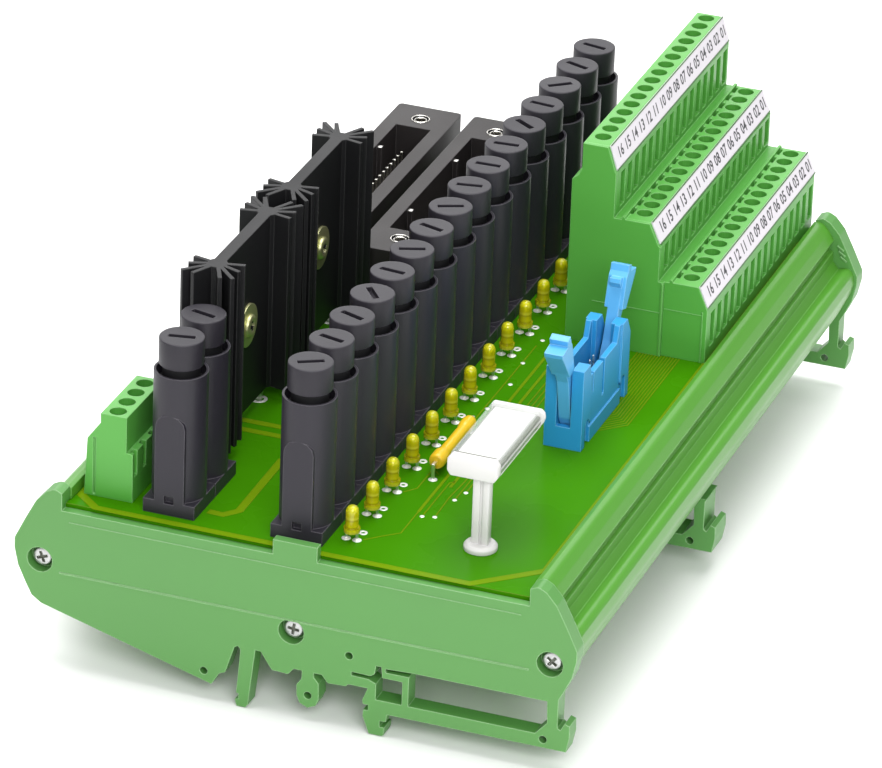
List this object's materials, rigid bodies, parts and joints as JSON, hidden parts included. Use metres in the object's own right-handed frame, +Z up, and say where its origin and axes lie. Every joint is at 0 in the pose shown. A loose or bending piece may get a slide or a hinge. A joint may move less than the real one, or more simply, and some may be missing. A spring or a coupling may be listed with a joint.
{
  "type": "passive interface module",
  "caption": "Rail-mounted interface module: a green tray carries a board with fuse holders, tiered screw terminals, finned heatsinks, lamps and pin connectors.",
  "frame": {"origin": "floor level under the middle of the module's box; the feet stand on z = 0", "axes": "+Y along the tray from the front end plate to the rear one, +Z up out of the board, +X across towards the tiered terminals"},
  "size_m": [0.1322, 0.2116, 0.091],
  "materials": {
    "profile_green": "smooth extruded sheen",
    "plate_green": "satin moulded",
    "board": "solder mask over glass cloth",
    "terminal_green": "satin moulded",
    "marker_white": "matt strip",
    "holder_black": "semi-gloss moulded",
    "cap_black": "semi-gloss moulded",
    "connector_grey": "matt filled plastic",
    "header_blue": "satin moulded",
    "latch_blue": "satin moulded",
    "anodised_black": "black anodised",
    "lamp_yellow": "tinted clear epoxy",
    "resistor_yellow": "lacquered",
    "fuse_glass": "clear",
    "clear_cover": "clear plastic",
    "label_white": "matt",
    "tinned_metal": "tin plated",
    "steel": "zinc plated",
    "contact_gold": "gold flashed",
    "brass_insert": "nickelled brass"
  },
  "bodies": {
    "root": {"base_profile": "profile_green", "end_plate_front": "plate_green", "end_plate_rear": "plate_green", "foot_middle": "plate_green", "end_plate_screws": "steel", "circuit_board": "board", "fuse_holder_bodies": "holder_black", "fuse_cartridges": "fuse_glass", "fuse_contacts": "tinned_metal", "status_lamps": "lamp_yellow", "component_leads": "tinned_metal", "terminal_block_housing": "terminal_green", "terminal_end_cover": "terminal_green", "terminal_clamp_cages": "tinned_metal", "marker_strips": "marker_white", "terminal_solder_tails": "tinned_metal", "supply_terminal_housing": "terminal_green", "supply_terminal_cages": "tinned_metal", "supply_terminal_tails": "tinned_metal", "ribbon_header_body": "header_blue", "ribbon_header_pins": "contact_gold", "system_connector_outer": "connector_grey", "system_connector_inner": "connector_grey", "connector_contacts_outer": "contact_gold", "connector_contacts_inner": "contact_gold", "connector_screw_inserts": "brass_insert", "heatsink_front": "anodised_black", "heatsink_rear": "anodised_black", "heatsink_solder_pins": "tinned_metal", "heatsink_screws": "steel", "heatsink_washers": "steel", "power_semiconductors": "connector_grey", "film_resistor": "resistor_yellow", "label_holder": "label_white", "label_card": "label_white", "label_cover": "clear_cover"},
    "fuse_cap_01": {"fuse_cap_01": "cap_black"},
    "fuse_cap_02": {"fuse_cap_02": "cap_black"},
    "fuse_cap_03": {"fuse_cap_03": "cap_black"},
    "fuse_cap_04": {"fuse_cap_04": "cap_black"},
    "fuse_cap_05": {"fuse_cap_05": "cap_black"},
    "fuse_cap_06": {"fuse_cap_06": "cap_black"},
    "fuse_cap_07": {"fuse_cap_07": "cap_black"},
    "fuse_cap_08": {"fuse_cap_08": "cap_black"},
    "fuse_cap_09": {"fuse_cap_09": "cap_black"},
    "fuse_cap_10": {"fuse_cap_10": "cap_black"},
    "fuse_cap_11": {"fuse_cap_11": "cap_black"},
    "fuse_cap_12": {"fuse_cap_12": "cap_black"},
    "fuse_cap_13": {"fuse_cap_13": "cap_black"},
    "fuse_cap_14": {"fuse_cap_14": "cap_black"},
    "fuse_cap_15": {"fuse_cap_15": "cap_black"},
    "fuse_cap_16": {"fuse_cap_16": "cap_black"},
    "fuse_cap_17": {"fuse_cap_17": "cap_black"},
    "fuse_cap_18": {"fuse_cap_18": "cap_black"},
    "header_latch_front": {"header_latch_front": "latch_blue"},
    "header_latch_rear": {"header_latch_rear": "latch_blue"}
  },
  "joints": [
    {"name": "fuse_cap_01_turn", "type": "hinge", "parent": "root", "child": "fuse_cap_01", "pos_m": [-0.0016, -0.09385, 0.0755], "axis": [0, 0, 1], "range_deg": [0, 90]},
    {"name": "fuse_cap_02_turn", "type": "hinge", "parent": "root", "child": "fuse_cap_02", "pos_m": [-0.0016, -0.08125, 0.0755], "axis": [0, 0, 1], "range_deg": [0, 90]},
    {"name": "fuse_cap_03_turn", "type": "hinge", "parent": "root", "child": "fuse_cap_03", "pos_m": [-0.0016, -0.06865, 0.0755], "axis": [0, 0, 1], "range_deg": [0, 90]},
    {"name": "fuse_cap_04_turn", "type": "hinge", "parent": "root", "child": "fuse_cap_04", "pos_m": [-0.0016, -0.05605, 0.0755], "axis": [0, 0, 1], "range_deg": [0, 90]},
    {"name": "fuse_cap_05_turn", "type": "hinge", "parent": "root", "child": "fuse_cap_05", "pos_m": [-0.0016, -0.04345, 0.0755], "axis": [0, 0, 1], "range_deg": [0, 90]},
    {"name": "fuse_cap_06_turn", "type": "hinge", "parent": "root", "child": "fuse_cap_06", "pos_m": [-0.0016, -0.03085, 0.0755], "axis": [0, 0, 1], "range_deg": [0, 90]},
    {"name": "fuse_cap_07_turn", "type": "hinge", "parent": "root", "child": "fuse_cap_07", "pos_m": [-0.0016, -0.01825, 0.0755], "axis": [0, 0, 1], "range_deg": [0, 90]},
    {"name": "fuse_cap_08_turn", "type": "hinge", "parent": "root", "child": "fuse_cap_08", "pos_m": [-0.0016, -0.00565, 0.0755], "axis": [0, 0, 1], "range_deg": [0, 90]},
    {"name": "fuse_cap_09_turn", "type": "hinge", "parent": "root", "child": "fuse_cap_09", "pos_m": [-0.0016, 0.00695, 0.0755], "axis": [0, 0, 1], "range_deg": [0, 90]},
    {"name": "fuse_cap_10_turn", "type": "hinge", "parent": "root", "child": "fuse_cap_10", "pos_m": [-0.0016, 0.01955, 0.0755], "axis": [0, 0, 1], "range_deg": [0, 90]},
    {"name": "fuse_cap_11_turn", "type": "hinge", "parent": "root", "child": "fuse_cap_11", "pos_m": [-0.0016, 0.03215, 0.0755], "axis": [0, 0, 1], "range_deg": [0, 90]},
    {"name": "fuse_cap_12_turn", "type": "hinge", "parent": "root", "child": "fuse_cap_12", "pos_m": [-0.0016, 0.04475, 0.0755], "axis": [0, 0, 1], "range_deg": [0, 90]},
    {"name": "fuse_cap_13_turn", "type": "hinge", "parent": "root", "child": "fuse_cap_13", "pos_m": [-0.0016, 0.05735, 0.0755], "axis": [0, 0, 1], "range_deg": [0, 90]},
    {"name": "fuse_cap_14_turn", "type": "hinge", "parent": "root", "child": "fuse_cap_14", "pos_m": [-0.0016, 0.06995, 0.0755], "axis": [0, 0, 1], "range_deg": [0, 90]},
    {"name": "fuse_cap_15_turn", "type": "hinge", "parent": "root", "child": "fuse_cap_15", "pos_m": [-0.0016, 0.08255, 0.0755], "axis": [0, 0, 1], "range_deg": [0, 90]},
    {"name": "fuse_cap_16_turn", "type": "hinge", "parent": "root", "child": "fuse_cap_16", "pos_m": [-0.0016, 0.09515, 0.0755], "axis": [0, 0, 1], "range_deg": [0, 90]},
    {"name": "fuse_cap_17_turn", "type": "hinge", "parent": "root", "child": "fuse_cap_17", "pos_m": [-0.0318, -0.09385, 0.0755], "axis": [0, 0, 1], "range_deg": [0, 90]},
    {"name": "fuse_cap_18_turn", "type": "hinge", "parent": "root", "child": "fuse_cap_18", "pos_m": [-0.0318, -0.08125, 0.0755], "axis": [0, 0, 1], "range_deg": [0, 90]},
    {"name": "header_latch_front_swing", "type": "hinge", "parent": "root", "child": "header_latch_front", "pos_m": [0.0368, -0.02935, 0.0451], "axis": [-1, 0, 0], "range_deg": [0, 18]},
    {"name": "header_latch_rear_swing", "type": "hinge", "parent": "root", "child": "header_latch_rear", "pos_m": [0.0368, -0.00455, 0.0451], "axis": [1, 0, 0], "range_deg": [0, 18]}
  ]
}
